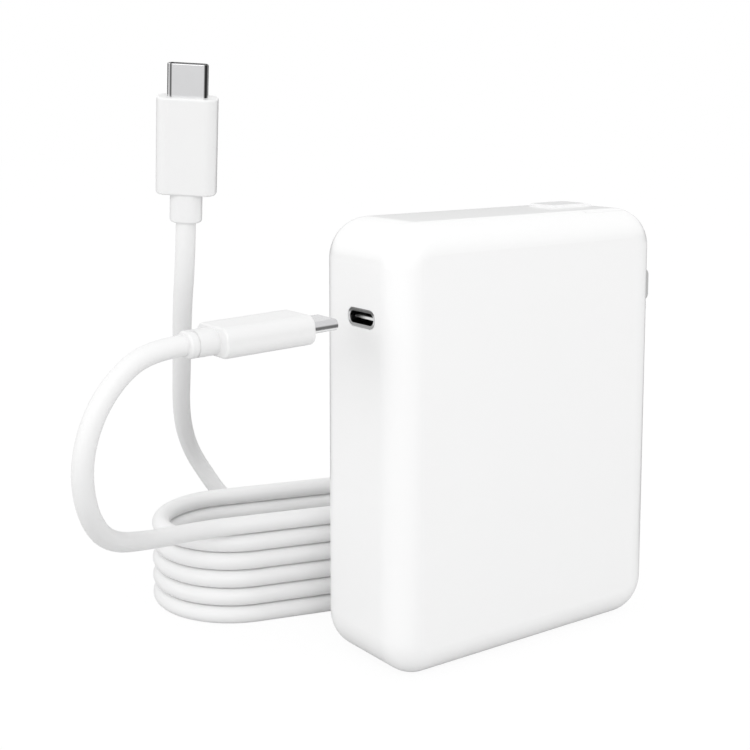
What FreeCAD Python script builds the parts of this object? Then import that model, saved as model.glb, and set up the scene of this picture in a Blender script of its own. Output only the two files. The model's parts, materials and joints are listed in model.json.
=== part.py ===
import FreeCAD, Part
import math
import os

from FreeCAD import Vector, Matrix

# Laptop power adapter: a wall brick with a lift-off corner plug head and its charging cable.
# Millimetres, +Z up. The origin is the middle of the brick's bottom face.
# +X points from the socket side to the plug head side, and -Y is the broad front face.

# Brick outside
WIDTH = 75.0
DEPTH = 29.0
HEIGHT = 96.0
CORNER_R = 8.9
EDGE_R = 6.35
WALL = 2.4

# Seam between the front tray and the back cover
SEAM_FROM_BACK = 2.6
SEAM_GROOVE = 0.2
SEAM_GROOVE_DEPTH = 0.3
COVER_WALL = 2.0
COVER_RIM = 4.6
LIP_DEPTH = 2.0
LIP_WALL = 1.2
LIP_CLEARANCE = 0.08
BEAD_R = 0.6
BEAD_PROUD = 0.35
BEAD_LENGTH = 10.0
BEAD_GAP = 0.08

# Corner recess that takes the plug head
RECESS_WIDTH = 19.5
RECESS_HEIGHT = 41.5
RECESS_BACK_WALL = 1.3
LINER_WALL = 1.6
HEAD_CLEARANCE = 0.1

# Mains inlet pins and the lock post, both in the recess
PIN_R = 1.2
PIN_PITCH = 8.6
PIN_FROM_WALL = 7.6
PIN_TIP_CUT = 0.5
PIN_LENGTH = 9.5
PIN_TAIL = 2.5
PIN_COLLAR_R = 2.0
PIN_COLLAR = 1.0
POST_DROP = 16.0
POST_R = 1.6
POST_CAP_R = 3.25
POST_CAP = 1.2
POST_REACH = 1.75
POST_FLANGE_R = 3.0
POST_FLANGE = 1.0
POST_CAP_CUT = 0.4
SLOT_CLEARANCE = 0.2

# Plug head
HEAD_WALL = 1.5
HEAD_FLOOR = 2.2
HEAD_BASE = 3.9
HEAD_SIDE_WALL = 8.2
GRIP_RISE = 0.45
GRIP_START = 0.5
GRIP_LENGTH = 12.4
GRIP_Y = (1.0, 8.8)
PAD_RISE = 1.5
PAD_SIDE_GAP = 0.6
PAD_BELOW = 7.15
PAD_ABOVE = 5.85
PAD_R = 2.0
PAD_RIM_R = 0.4
SLEEVE_R = 2.0
SLEEVE_CLEARANCE = 0.05
SLEEVE_LENGTH = 12.0
SLEEVE_COVER = 1.0
PIN_ENTRY_R = 1.5

# Folding blades on their carrier
CARRIER_SIDE = 7.5
CARRIER_R = 1.6
CARRIER_PROUD = 2.5
CARRIER_INSET = 1.2
CARRIER_DROP = 18.45
CARRIER_GAP = 0.16
CARRIER_SIDE_GAP = 0.15
BLADE_WIDTH = 6.35
BLADE_THICK = 1.5
BLADE_PITCH = 12.7
BLADE_LENGTH = 16.0
BLADE_ROOT_WIDTH = 4.0
BLADE_NUB_WIDTH = 1.6
BLADE_NUB = 0.85
BLADE_TIP_CUT = 1.2
BLADE_SLOT_GAP = 0.2
STUB_R = 0.6
STUB_GAP = 0.03
STUB_SEAT = 0.6
STUB_REACH = 0.75
SCOOP_R = 7.0
SCOOP_DEPTH = 1.6
SCOOP_HALF_Y = 8.0
SCOOP_ABOVE_TIP = 4.5
SPRING_THICK = 0.4
SPRING_GAP = 0.3
SPRING_INNER = 1.5
SPRING_OUTER = 1.0
SPRING_BEND = 4.5
SPRING_TIP = 1.2
SPRING_FOOT = 1.5

# Charging socket in the left side
PORT_DROP = 20.0
PORT_Y = -1.6
PORT_INNER = (8.34, 2.56)
PORT_WALL = 0.3
PORT_DEPTH = 8.4
PORT_SET_BACK = 0.1
PORT_RIM = 0.36
PORT_RIM_THICK = 0.35
PORT_GAP = 0.08
PORT_BACK = 2.2
TONGUE_WIDTH = 6.69
TONGUE_THICK = 0.6
TONGUE_LENGTH = 5.4
CONTACT_COUNT = 12
CONTACT_PITCH = 0.5
CONTACT_WIDTH = 0.26
CONTACT_THICK = 0.05

# Boards and sheets
BOARD_TO_SEAM = 1.9
BOARD_THICK = 1.6
BOARD_MARGIN = 1.6
PORT_BOARD_THICK = 1.2
PORT_BOARD_LENGTH = 20.9
PORT_BOARD_CLEARANCE = 0.15
POST_BOARD_R = 1.6
POST_BOARD_INSET = (4.1, 3.8)
SHEET_THICK = 0.3
SHEET_HOLE_GAP = 0.3
SPREADER_THICK = 0.8
PAD_THICK = 1.0
PAD_MARGIN = 2.0
CONTROLLER = (5.0, 5.0, 0.9)
CONTROLLER_FROM_WALL = 12.5

# Inside components. Heights are above the underside, except that a drop is below the top.
CAN_R = 6.5
CAN_LENGTH = 23.5
CAN_GROOVE = 0.5
CAN_FROM_SIDE = 6.5
CAN_LOW_Z = 11.5
CAN_HIGH_Z = 51.0
CAN_HIGH_FROM_SIDE = 4.1
OUTPUT_R = 3.5
OUTPUT_LENGTH = 11.0
OUTPUT_X = 7.25
OUTPUT_HEIGHTS = (22.6, 30.4, 38.2)
FILM_SIZE = (17.0, 15.0, 9.0)
FILM_FROM_TRAFO = 0.4
FILM_BOTTOM = 42.2
FILM_R = 0.8
TRAFO_LENGTH = 30.0
TRAFO_HEIGHT = 24.0
TRAFO_BOTTOM = 19.0
TRAFO_FROM_SIDE = 2.6
TRAFO_PLATE = 3.2
TRAFO_SIDE = 3.0
TRAFO_LEG_R = 5.5
BOBBIN_WALL = 0.9
BOBBIN_R = 11.2
WINDING_R = 10.6
DRUM_SIDE = 16.0
DRUM_DEPTH = 14.0
DRUM_PLATE = 2.5
DRUM_LEG_R = 4.2
DRUM_WINDING_R = 7.6
DRUM_BOTTOM = 18.6
DRUM_FROM_SIDE = 2.1
RING_R = 8.0
RING_HOLE_R = 4.0
RING_THICK = 6.0
RING_WIRE = 1.0
RING_SPLIT = 1.0
RING_WRAP_HALF = 6.0
RING_X = 0.5
RING_DROP = 26.0
SWITCH_SIZE = (5.0, 0.9, 6.0)
SWITCH_STEP = 7.0
SWITCH_DROP = 9.5
CHIP_SIZE = (4.0, 1.0, 3.0)
CHIP_DROP = 5.0
CHIP_FROM_WALL = 8.4
BRIDGE_SIZE = (12.0, 3.4, 6.0)
BRIDGE_FROM_SIDE = 3.1
BRIDGE_DROP = 9.0
FUSE_R = 2.6
FUSE_LENGTH = 8.0
FUSE_FROM_SIDE = 19.3
FUSE_DROP = 9.0
LEAD_R = 0.9
LEAD_BEND = 2.6
LEAD_STRAIGHT = 1.2

# Charging cable: connectors of the standard size, tip to tip
CABLE_D = 4.15
PLUG_OUTER = (8.25, 2.4)
PLUG_WALL = 0.25
PLUG_SHELL = 6.65
PLUG_BURIED = 2.0
PLUG_SLOT = (6.9, 0.9)
PLUG_SLOT_DEPTH = 5.2
PLUG_LIP = 0.2
PLUG_CONTACT_THICK = 0.08
OVERMOULD = (12.3, 6.0)
OVERMOULD_R = 2.3
OVERMOULD_END_R = 0.45
OVERMOULD_LENGTH = 20.0
RELIEF = (6.6, 5.2)
RELIEF_R = 2.5
RELIEF_END_R = 0.5
RELIEF_LENGTH = 6.0
RELIEF_RING = 1.5
RELIEF_GROOVE = 0.25
RELIEF_GROOVE_WIDTH = 0.4
PORT_PLUG_GAP = 8.5
PORT_PLUG_DROOP = math.radians(2)

# Coil of the cable, a stack of flat oval turns beside the brick's back face
COIL_ALONG = Vector(0.9656, -0.2599, 0)
COIL_LEFT = -49.2
COIL_RIGHT = -2.0
COIL_FRONT = 22.2
COIL_BACK = 58.6
COIL_START = -50.0
COIL_END = -12.0
COIL_OUTER = 64.2
COIL_OUTER_RIGHT = 3.0
COIL_PITCH = 4.28
COIL_LEVELS = 6
COIL_DROP_SLOPE = 0.14

NODES = {}


def keep(name, *solids):
    """One node, of one solid or of a group of separate solids."""
    shape = solids[0] if len(solids) == 1 else Part.makeCompound(list(solids))
    NODES[name] = shape


def box(x0, x1, y0, y1, z0, z1):
    return Part.makeBox(x1 - x0, y1 - y0, z1 - z0, Vector(x0, y0, z0))


def rod(radius, start, end):
    """A round rod between two points."""
    along = end - start
    return Part.makeCylinder(radius, along.Length, start, along)


def edges_where(shape, test):
    found = []
    for edge in shape.Edges:
        middle = edge.valueAt(0.5 * (edge.FirstParameter + edge.LastParameter))
        points = [vertex.Point for vertex in edge.Vertexes] + [middle]
        if test(points):
            found.append(edge)
    return found


def slab(grow=0.0, y0=None, y1=None):
    """The brick's rounded outside, grown or shrunk by an offset on every side."""
    half_x = WIDTH / 2 + grow
    half_y = DEPTH / 2 + grow
    plain = box(-half_x, half_x, -half_y, half_y, -grow, HEIGHT + grow)
    upright = edges_where(plain, lambda ps: max(p.y for p in ps) - min(p.y for p in ps) > half_y)
    turned = plain.makeFillet(CORNER_R + grow, upright)
    rims = edges_where(turned, lambda ps: min(abs(p.y) for p in ps) > half_y - 0.01)
    rounded = turned.makeFillet(EDGE_R + grow, rims)
    if y0 is None and y1 is None:
        return rounded
    low = -half_y - 1 if y0 is None else y0
    high = half_y + 1 if y1 is None else y1
    return rounded.common(box(-half_x - 1, half_x + 1, low, high, -grow - 1, HEIGHT + grow + 1))


def outline_prism(inset, y0, y1):
    """A straight prism along Y of the brick's outline, moved in by an inset."""
    half = WIDTH / 2 - inset
    plain = box(-half, half, y0, y1, inset, HEIGHT - inset)
    upright = edges_where(plain, lambda ps: max(p.y for p in ps) - min(p.y for p in ps) > 0.5 * (y1 - y0))
    return plain.makeFillet(CORNER_R - inset, upright)


def stadium(width, height, length):
    """A round-ended bar along local X from 0 to length, its width along Y and height along Z."""
    r = height / 2
    flat = width / 2 - r
    top = Part.LineSegment(Vector(0, -flat, r), Vector(0, flat, r))
    right = Part.Arc(Vector(0, flat, r), Vector(0, flat + r, 0), Vector(0, flat, -r))
    bottom = Part.LineSegment(Vector(0, flat, -r), Vector(0, -flat, -r))
    left = Part.Arc(Vector(0, -flat, -r), Vector(0, -flat - r, 0), Vector(0, -flat, r))
    wire = Part.Wire([curve.toShape() for curve in (top, right, bottom, left)])
    return Part.Face(wire).extrude(Vector(length, 0, 0))


def rounded_bar(width, height, radius, length):
    """A bar along local X with rounded long edges, its width along Y and height along Z."""
    plain = box(0, length, -width / 2, width / 2, -height / 2, height / 2)
    long_edges = edges_where(plain, lambda ps: max(p.x for p in ps) - min(p.x for p in ps) > length / 2)
    return plain.makeFillet(radius, long_edges)


def moved(shape, x=0.0, y=0.0, z=0.0):
    copy = shape.copy()
    copy.translate(Vector(x, y, z))
    return copy


# Places worked out from the sizes above
half_width = WIDTH / 2
half_depth = DEPTH / 2
left_inside = WALL - half_width
right_inside = half_width - WALL
front_inside = WALL - half_depth
seam_y = half_depth - SEAM_FROM_BACK
board_back_y = seam_y - BOARD_TO_SEAM
board_front_y = board_back_y - BOARD_THICK
recess_x = half_width - RECESS_WIDTH
recess_z = HEIGHT - RECESS_HEIGHT
recess_half_y = seam_y - RECESS_BACK_WALL
liner_x = recess_x - LINER_WALL
liner_z = recess_z - LINER_WALL
pin_x = recess_x + PIN_FROM_WALL
post_z = HEIGHT - POST_DROP
port_z = HEIGHT - PORT_DROP
head_x = recess_x + HEAD_CLEARANCE
head_z = recess_z + HEAD_CLEARANCE
head_half_y = recess_half_y - HEAD_CLEARANCE
head_cavity_x = half_width - HEAD_SIDE_WALL
pad_half_y = head_half_y - PAD_SIDE_GAP
carrier_x = half_width + CARRIER_PROUD - CARRIER_SIDE / 2
carrier_z = HEIGHT - CARRIER_DROP
carrier_half_y = head_half_y - CARRIER_INSET
carrier_sweep = math.sqrt(2) * (CARRIER_SIDE / 2 - CARRIER_R) + CARRIER_R
blade_inner_x = half_width - BLADE_WIDTH
blade_tip_z = carrier_z - CARRIER_SIDE / 2 - BLADE_LENGTH
post_cap_x = recess_x + POST_REACH
slot_lip_x = post_cap_x - SLOT_CLEARANCE
far = HEIGHT + 20


def lock_slot():
    """The T-shaped way that the lock post runs in, open at the head's lower end."""
    neck = POST_R + SLOT_CLEARANCE
    cap = POST_CAP_R + SLOT_CLEARANCE
    cap_end = post_cap_x + POST_CAP + SLOT_CLEARANCE
    below = head_z - 1
    parts = [
        box(head_x - 1, slot_lip_x + 0.1, -neck, neck, below, post_z),
        rod(neck, Vector(head_x - 1, 0, post_z), Vector(slot_lip_x + 0.1, 0, post_z)),
        box(slot_lip_x, cap_end, -cap, cap, below, post_z),
        rod(cap, Vector(slot_lip_x, 0, post_z), Vector(cap_end, 0, post_z)),
    ]
    return parts[0].multiFuse(parts[1:]).removeSplitter()


def port_hole():
    """The round-ended hole in the left wall, with a step for the socket's rim."""
    width = PORT_INNER[0] + 2 * PORT_WALL
    height = PORT_INNER[1] + 2 * PORT_WALL
    through = stadium(width + 2 * PORT_GAP, height + 2 * PORT_GAP, WALL + 2)
    rim_grow = 2 * (PORT_RIM + PORT_GAP)
    rim = stadium(width + rim_grow, height + rim_grow, 1 + PORT_SET_BACK + PORT_RIM_THICK)
    return moved(through.fuse(rim), x=-half_width - 1, y=PORT_Y, z=port_z)


def board_posts():
    """Moulded posts that the main board rests on: two low, two high beside the recess."""
    side = right_inside - POST_BOARD_INSET[0]
    low = WALL + POST_BOARD_INSET[1]
    high = HEIGHT - low
    recess_side = liner_x - 2 * POST_BOARD_R
    return [(-side, low), (side, low), (-side, high), (recess_side, high)]


def pin_places():
    return [(-1, -PIN_PITCH / 2), (1, PIN_PITCH / 2)]


def snap_beads(gap):
    """Rods along the cover's lip: its snap beads, or with a gap the grooves that take them in the tray."""
    y = seam_y - LIP_DEPTH / 2
    sunk = LIP_CLEARANCE + BEAD_R - BEAD_PROUD
    radius = BEAD_R + gap
    half = BEAD_LENGTH / 2 + gap
    upright = [
        (left_inside + sunk, 0.3 * HEIGHT),
        (left_inside + sunk, 0.68 * HEIGHT),
        (right_inside - sunk, 0.3 * HEIGHT),
    ]
    level = [
        (-0.25 * WIDTH, WALL + sunk),
        (0.25 * WIDTH, WALL + sunk),
        (-0.15 * WIDTH, HEIGHT - WALL - sunk),
    ]
    rods = [rod(radius, Vector(x, y, z - half), Vector(x, y, z + half)) for x, z in upright]
    return rods + [rod(radius, Vector(x - half, y, z), Vector(x + half, y, z)) for x, z in level]


def housing():
    tray = slab(y1=seam_y)
    cavity = outline_prism(WALL, front_inside, half_depth + 1)
    inner_rims = edges_where(cavity, lambda ps: max(p.y for p in ps) < front_inside + 0.01)
    cavity = cavity.makeFillet(EDGE_R - WALL, inner_rims)
    liner = box(liner_x, far, -half_depth, seam_y, liner_z, far)
    tray = tray.cut(cavity).fuse(slab(y1=seam_y).common(liner))
    for x, z in board_posts():
        post = rod(POST_BOARD_R, Vector(x, front_inside - 0.5, z), Vector(x, board_front_y, z))
        tray = tray.fuse(post)
    tray = tray.cut(box(recess_x, far, -recess_half_y, recess_half_y, recess_z, far))
    tray = tray.cut(port_hole())
    tray = tray.cut(rod(POST_R, Vector(liner_x - 1, 0, post_z), Vector(recess_x + 1, 0, post_z)))
    for side, y in pin_places():
        tray = tray.cut(rod(PIN_R, Vector(pin_x, y, liner_z - 1), Vector(pin_x, y, recess_z + 1)))
    for groove in snap_beads(BEAD_GAP):
        tray = tray.cut(groove)
    keep("front_tray", tray.removeSplitter())

    cover = slab(y0=seam_y)
    groove = cover.cut(slab(grow=-SEAM_GROOVE_DEPTH))
    groove = groove.common(box(-far, far, seam_y, seam_y + SEAM_GROOVE, -1, far))
    pocket = outline_prism(COVER_RIM, seam_y - 1, half_depth - COVER_WALL)
    lip_inset = WALL + LIP_CLEARANCE
    lip = outline_prism(lip_inset, seam_y - LIP_DEPTH, seam_y)
    lip = lip.cut(outline_prism(lip_inset + LIP_WALL, seam_y - LIP_DEPTH - 1, seam_y + 1))
    beside_recess = box(liner_x - LIP_CLEARANCE, far, 0, seam_y, liner_z - LIP_CLEARANCE, far)
    lip = lip.cut(beside_recess).multiFuse(snap_beads(0))
    cover = cover.cut(groove).cut(pocket).fuse(lip)
    keep("back_cover", cover.removeSplitter())


def turned_profile(points, axis_start, axis):
    """A solid of revolution from (radius, distance) points along an axis."""
    wire = Part.makePolygon([Vector(r, 0, d) for r, d in points + points[:1]])
    solid = Part.Face(wire).revolve(Vector(0, 0, 0), Vector(0, 0, 1), 360)
    solid.Placement = FreeCAD.Placement(axis_start, FreeCAD.Rotation(Vector(0, 0, 1), axis))
    return solid


def inlet():
    """Two mains pins through the recess floor, and the post that locks the head."""
    pin_top = LINER_WALL + PIN_LENGTH
    profile = [
        (0, -PIN_COLLAR - PIN_TAIL),
        (PIN_R, -PIN_COLLAR - PIN_TAIL),
        (PIN_R, -PIN_COLLAR),
        (PIN_COLLAR_R, -PIN_COLLAR),
        (PIN_COLLAR_R, 0),
        (PIN_R, 0),
        (PIN_R, pin_top - PIN_TIP_CUT),
        (PIN_R - PIN_TIP_CUT, pin_top),
        (0, pin_top),
    ]
    up = Vector(0, 0, 1)
    keep("inlet_pins", *[turned_profile(profile, Vector(pin_x, y, liner_z), up) for side, y in pin_places()])

    neck_end = post_cap_x - liner_x
    profile = [
        (0, -POST_FLANGE),
        (POST_FLANGE_R, -POST_FLANGE),
        (POST_FLANGE_R, 0),
        (POST_R, 0),
        (POST_R, neck_end),
        (POST_CAP_R, neck_end),
        (POST_CAP_R, neck_end + POST_CAP - POST_CAP_CUT),
        (POST_CAP_R - POST_CAP_CUT, neck_end + POST_CAP),
        (0, neck_end + POST_CAP),
    ]
    keep("lock_post", turned_profile(profile, Vector(liner_x, 0, post_z), Vector(1, 0, 0)))


def head_outside():
    """The head's outer form: a corner of the brick with a grip on top and a pad round the carrier."""
    corner = box(head_x, far, -head_half_y, head_half_y, head_z, far)
    grip_x = head_x + GRIP_START
    grip = box(grip_x, grip_x + GRIP_LENGTH, GRIP_Y[0], GRIP_Y[1], HEIGHT - EDGE_R, far)
    pad_length = PAD_RISE + half_width - head_cavity_x - HEAD_WALL
    pad = box(0, pad_length, -pad_half_y, pad_half_y, carrier_z - PAD_BELOW, carrier_z + PAD_ABOVE)
    pad = moved(pad, x=half_width + PAD_RISE - pad_length)
    pad_corners = edges_where(pad, lambda ps: max(p.x for p in ps) - min(p.x for p in ps) > pad_length / 2)
    pad = pad.makeFillet(PAD_R, pad_corners)
    pad_rim = edges_where(pad, lambda ps: min(p.x for p in ps) > half_width + PAD_RISE - 0.01)
    pad = pad.makeFillet(PAD_RIM_R, pad_rim)
    return slab().common(corner).fuse(slab(grow=GRIP_RISE).common(grip)).fuse(pad)


def plug_head():
    """The lift-off corner head: an outer shell, a slide base, contact sleeves and springs."""
    shell = head_outside()
    inside_y = head_half_y - HEAD_WALL
    floor_top = head_z + HEAD_FLOOR
    ceiling = HEIGHT - HEAD_WALL - GRIP_RISE
    shell = shell.cut(box(head_x - 1, head_cavity_x, -inside_y, inside_y, floor_top, ceiling))

    pocket_r = carrier_sweep + CARRIER_GAP
    pocket_y = carrier_half_y + CARRIER_SIDE_GAP
    low = carrier_z - pocket_r
    high = carrier_z + pocket_r
    shell = shell.cut(rod(pocket_r, Vector(carrier_x, -pocket_y, carrier_z), Vector(carrier_x, pocket_y, carrier_z)))
    shell = shell.cut(box(carrier_x, far, -pocket_y, pocket_y, low, high))
    shell = shell.cut(box(half_width - GRIP_RISE, far, -half_depth, half_depth, low, high))
    scoop_x = half_width + SCOOP_R - SCOOP_DEPTH
    scoop_z = blade_tip_z + SCOOP_ABOVE_TIP
    shell = shell.cut(rod(SCOOP_R, Vector(scoop_x, -SCOOP_HALF_Y, scoop_z), Vector(scoop_x, SCOOP_HALF_Y, scoop_z)))

    slot_half = BLADE_THICK / 2 + BLADE_SLOT_GAP
    slot_x = blade_inner_x - BLADE_SLOT_GAP
    stub_end = carrier_half_y + STUB_REACH + BLADE_SLOT_GAP
    sleeve_z = head_z + SLEEVE_COVER
    for side, pin_y in pin_places():
        y = side * BLADE_PITCH / 2
        shell = shell.cut(box(slot_x, far, y - slot_half, y + slot_half, blade_tip_z - 0.5, carrier_z))
        window_y = sorted((side * spring_inner_y, side * spring_outer_y))
        window = box(
            head_cavity_x - 0.5,
            carrier_x,
            window_y[0] - SPRING_GAP,
            window_y[1] + SPRING_GAP,
            carrier_z - SPRING_BEND,
            carrier_z + SPRING_TIP + 2 * SPRING_GAP,
        )
        shell = shell.cut(window)
        bore_end = Vector(carrier_x, side * stub_end, carrier_z)
        shell = shell.cut(rod(STUB_R + STUB_GAP, Vector(carrier_x, 0, carrier_z), bore_end))
        shell = shell.cut(rod(PIN_ENTRY_R, Vector(pin_x, pin_y, head_z - 1), Vector(pin_x, pin_y, floor_top)))
        shell = shell.cut(rod(SLEEVE_R, Vector(pin_x, pin_y, sleeve_z), Vector(pin_x, pin_y, floor_top + 1)))
    slot = lock_slot()
    keep("head_shell", shell.cut(slot).removeSplitter())

    base = box(head_x, head_x + HEAD_BASE, -inside_y, inside_y, floor_top, ceiling)
    keep("head_slide_base", base.cut(slot).removeSplitter())

    sleeves = []
    springs = []
    for side, pin_y in pin_places():
        low = Vector(pin_x, pin_y, sleeve_z)
        high = low + Vector(0, 0, SLEEVE_LENGTH)
        sleeves.append(rod(SLEEVE_R, low, high).cut(rod(PIN_R + SLEEVE_CLEARANCE, low, high - Vector(0, 0, 1))))
        springs.append(contact_spring(side, high.z))
    keep("head_contact_sleeves", *sleeves)
    keep("head_contact_springs", *springs)


spring_inner_y = PIN_PITCH / 2 - SPRING_INNER
spring_outer_y = BLADE_PITCH / 2 + SPRING_OUTER


def leaf(centre, half):
    """The flat outline of a bent strip, in the XZ plane, with mitred corners."""
    left = []
    right = []
    for index, point in enumerate(centre):
        before = centre[max(index - 1, 0)]
        after = centre[min(index + 1, len(centre) - 1)]
        into = (point - before).normalize() if index else (after - point).normalize()
        out = (after - point).normalize() if index < len(centre) - 1 else into
        normal = Vector(-into.z - out.z, 0, into.x + out.x).normalize()
        reach = half / (normal.x * -into.z + normal.z * into.x)
        left.append(point + normal * reach)
        right.append(point - normal * reach)
    return Part.Face(Part.makePolygon(left + right[::-1] + left[:1]))


def contact_spring(side, foot_z):
    """A bent leaf from the sleeve's top to the back of the blade carrier."""
    half = SPRING_THICK / 2
    face_x = carrier_x - carrier_sweep - SPRING_GAP - half
    foot = foot_z + half
    centre = [
        Vector(pin_x - SPRING_FOOT, 0, foot),
        Vector(pin_x + SPRING_FOOT, 0, foot),
        Vector(pin_x + SPRING_FOOT, 0, carrier_z - SPRING_BEND),
        Vector(face_x, 0, carrier_z - half),
        Vector(face_x, 0, carrier_z + SPRING_TIP),
    ]
    spring = leaf(centre, half).extrude(Vector(0, spring_outer_y - spring_inner_y, 0))
    return moved(spring, y=spring_inner_y if side > 0 else -spring_outer_y)


def blades():
    """The folding pair of flat blades, their moulded carrier and its two stub pins."""
    half = CARRIER_SIDE / 2
    block = box(carrier_x - half, carrier_x + half, -carrier_half_y, carrier_half_y, carrier_z - half, carrier_z + half)
    long_edges = edges_where(block, lambda ps: max(p.y for p in ps) - min(p.y for p in ps) > carrier_half_y)
    block = block.makeFillet(CARRIER_R, long_edges)
    face_z = carrier_z - half
    top_z = carrier_z + half
    nub_z = top_z + BLADE_NUB
    root_left = carrier_x - BLADE_ROOT_WIDTH / 2
    root_right = half_width
    nub_left = carrier_x - BLADE_NUB_WIDTH / 2
    nub_right = carrier_x + BLADE_NUB_WIDTH / 2
    outline = [
        (root_left, top_z),
        (nub_left, top_z),
        (nub_left, nub_z - BLADE_NUB_WIDTH / 4),
        (nub_left + BLADE_NUB_WIDTH / 4, nub_z),
        (nub_right - BLADE_NUB_WIDTH / 4, nub_z),
        (nub_right, nub_z - BLADE_NUB_WIDTH / 4),
        (nub_right, top_z),
        (root_right, top_z),
        (root_right, blade_tip_z + BLADE_TIP_CUT),
        (root_right - BLADE_TIP_CUT, blade_tip_z),
        (blade_inner_x + BLADE_TIP_CUT, blade_tip_z),
        (blade_inner_x, blade_tip_z + BLADE_TIP_CUT),
        (blade_inner_x, face_z),
        (root_left, face_z),
    ]
    pair = []
    for side in (-1, 1):
        y = side * BLADE_PITCH / 2 - BLADE_THICK / 2
        points = [Vector(x, y, z) for x, z in outline]
        pair.append(Part.Face(Part.makePolygon(points + points[:1])).extrude(Vector(0, BLADE_THICK, 0)))
    carrier = block.cut(pair[0]).cut(pair[1])
    stubs = []
    for side in (-1, 1):
        start = Vector(carrier_x, side * (carrier_half_y - STUB_SEAT), carrier_z)
        end = Vector(carrier_x, side * (carrier_half_y + STUB_REACH), carrier_z)
        stubs.append(rod(STUB_R, start, end))
        carrier = carrier.cut(stubs[-1])
    keep("blade_carrier", carrier.removeSplitter())
    keep("plug_blades", *pair)
    keep("carrier_stub_pins", *stubs)


def contact_rows(x0, x1, z_face, thick):
    """Two rows of flat contact strips, above and below a middle plane at z 0."""
    strips = []
    for index in range(CONTACT_COUNT):
        y = (index - (CONTACT_COUNT - 1) / 2) * CONTACT_PITCH
        low = y - CONTACT_WIDTH / 2
        high = y + CONTACT_WIDTH / 2
        strips.append(box(x0, x1, low, high, z_face, z_face + thick))
        strips.append(box(x0, x1, low, high, -z_face - thick, -z_face))
    return strips


def socket():
    """The charging socket: metal shell with its rim, insulator with its tongue, and contacts."""
    outer = (PORT_INNER[0] + 2 * PORT_WALL, PORT_INNER[1] + 2 * PORT_WALL)
    front = -half_width + PORT_SET_BACK
    shell = stadium(outer[0], outer[1], PORT_DEPTH)
    rim = stadium(outer[0] + 2 * PORT_RIM, outer[1] + 2 * PORT_RIM, PORT_RIM_THICK)
    shell = shell.fuse(rim).cut(stadium(PORT_INNER[0], PORT_INNER[1], PORT_DEPTH))
    keep("socket_shell", moved(shell.removeSplitter(), x=front, y=PORT_Y, z=port_z))

    back_x = PORT_DEPTH - PORT_BACK
    back = moved(stadium(PORT_INNER[0], PORT_INNER[1], PORT_BACK), x=back_x)
    tongue_x = back_x - TONGUE_LENGTH
    side = TONGUE_WIDTH / 2
    face = TONGUE_THICK / 2
    tongue = box(tongue_x, back_x, -side, side, -face, face)
    nose = edges_where(tongue, lambda ps: max(p.x for p in ps) < tongue_x + 0.01 and abs(ps[0].z - ps[1].z) < 0.01)
    tongue = tongue.makeChamfer(TONGUE_THICK / 4, nose)
    keep("socket_tongue", moved(back.fuse(tongue).removeSplitter(), x=front, y=PORT_Y, z=port_z))
    strips = contact_rows(tongue_x + TONGUE_THICK, back_x, face, CONTACT_THICK)
    keep("socket_contacts", *[moved(strip, x=front, y=PORT_Y, z=port_z) for strip in strips])


def l_sheet(margin, y0, y1, post_gap):
    """A flat sheet with the recess corner cut out of it, and holes for the board posts if it has a gap to them."""
    sheet = outline_prism(WALL + margin, y0, y1)
    sheet = sheet.cut(box(liner_x - margin, far, y0 - 1, y1 + 1, liner_z - margin, far))
    if post_gap:
        for x, z in board_posts():
            sheet = sheet.cut(rod(POST_BOARD_R + post_gap, Vector(x, y0 - 1, z), Vector(x, y1 + 1, z)))
    return sheet


def boards():
    """Main and port boards, with the sheets in front of and behind them. Gives the front of the pad."""
    keep("main_board", l_sheet(BOARD_MARGIN, board_front_y, board_back_y, 0))
    top = port_z - PORT_INNER[1] / 2 - PORT_WALL
    front_y = front_inside + EDGE_R - WALL + PORT_BOARD_CLEARANCE
    end_x = left_inside + PORT_BOARD_LENGTH
    keep("port_board", box(left_inside, end_x, front_y, board_front_y, top - PORT_BOARD_THICK, top))
    chip_x = left_inside + CONTROLLER_FROM_WALL
    chip_y = CONTROLLER[1] / 2
    keep("charge_controller", box(chip_x, chip_x + CONTROLLER[0], -chip_y, chip_y, top, top + CONTROLLER[2]))

    sheet_margin = EDGE_R - WALL
    spreader_y = front_inside + SHEET_THICK
    pad_y = spreader_y + SPREADER_THICK
    keep("front_insulator", l_sheet(sheet_margin, front_inside, spreader_y, SHEET_HOLE_GAP))
    keep("heat_spreader", l_sheet(sheet_margin, spreader_y, pad_y, SHEET_HOLE_GAP))
    cover_inside = half_depth - COVER_WALL
    keep("back_insulator", l_sheet(COVER_RIM - WALL, cover_inside - 2 * SHEET_THICK, cover_inside, 0))
    pad_x = left_inside + TRAFO_FROM_SIDE + PAD_MARGIN
    pad_end = pad_x + TRAFO_LENGTH - 2 * PAD_MARGIN
    pad_z = TRAFO_BOTTOM + PAD_MARGIN
    pad_top = pad_z + TRAFO_HEIGHT - 2 * PAD_MARGIN
    keep("thermal_pad", box(pad_x, pad_end, pad_y, pad_y + PAD_THICK, pad_z, pad_top))
    return pad_y + PAD_THICK


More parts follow.
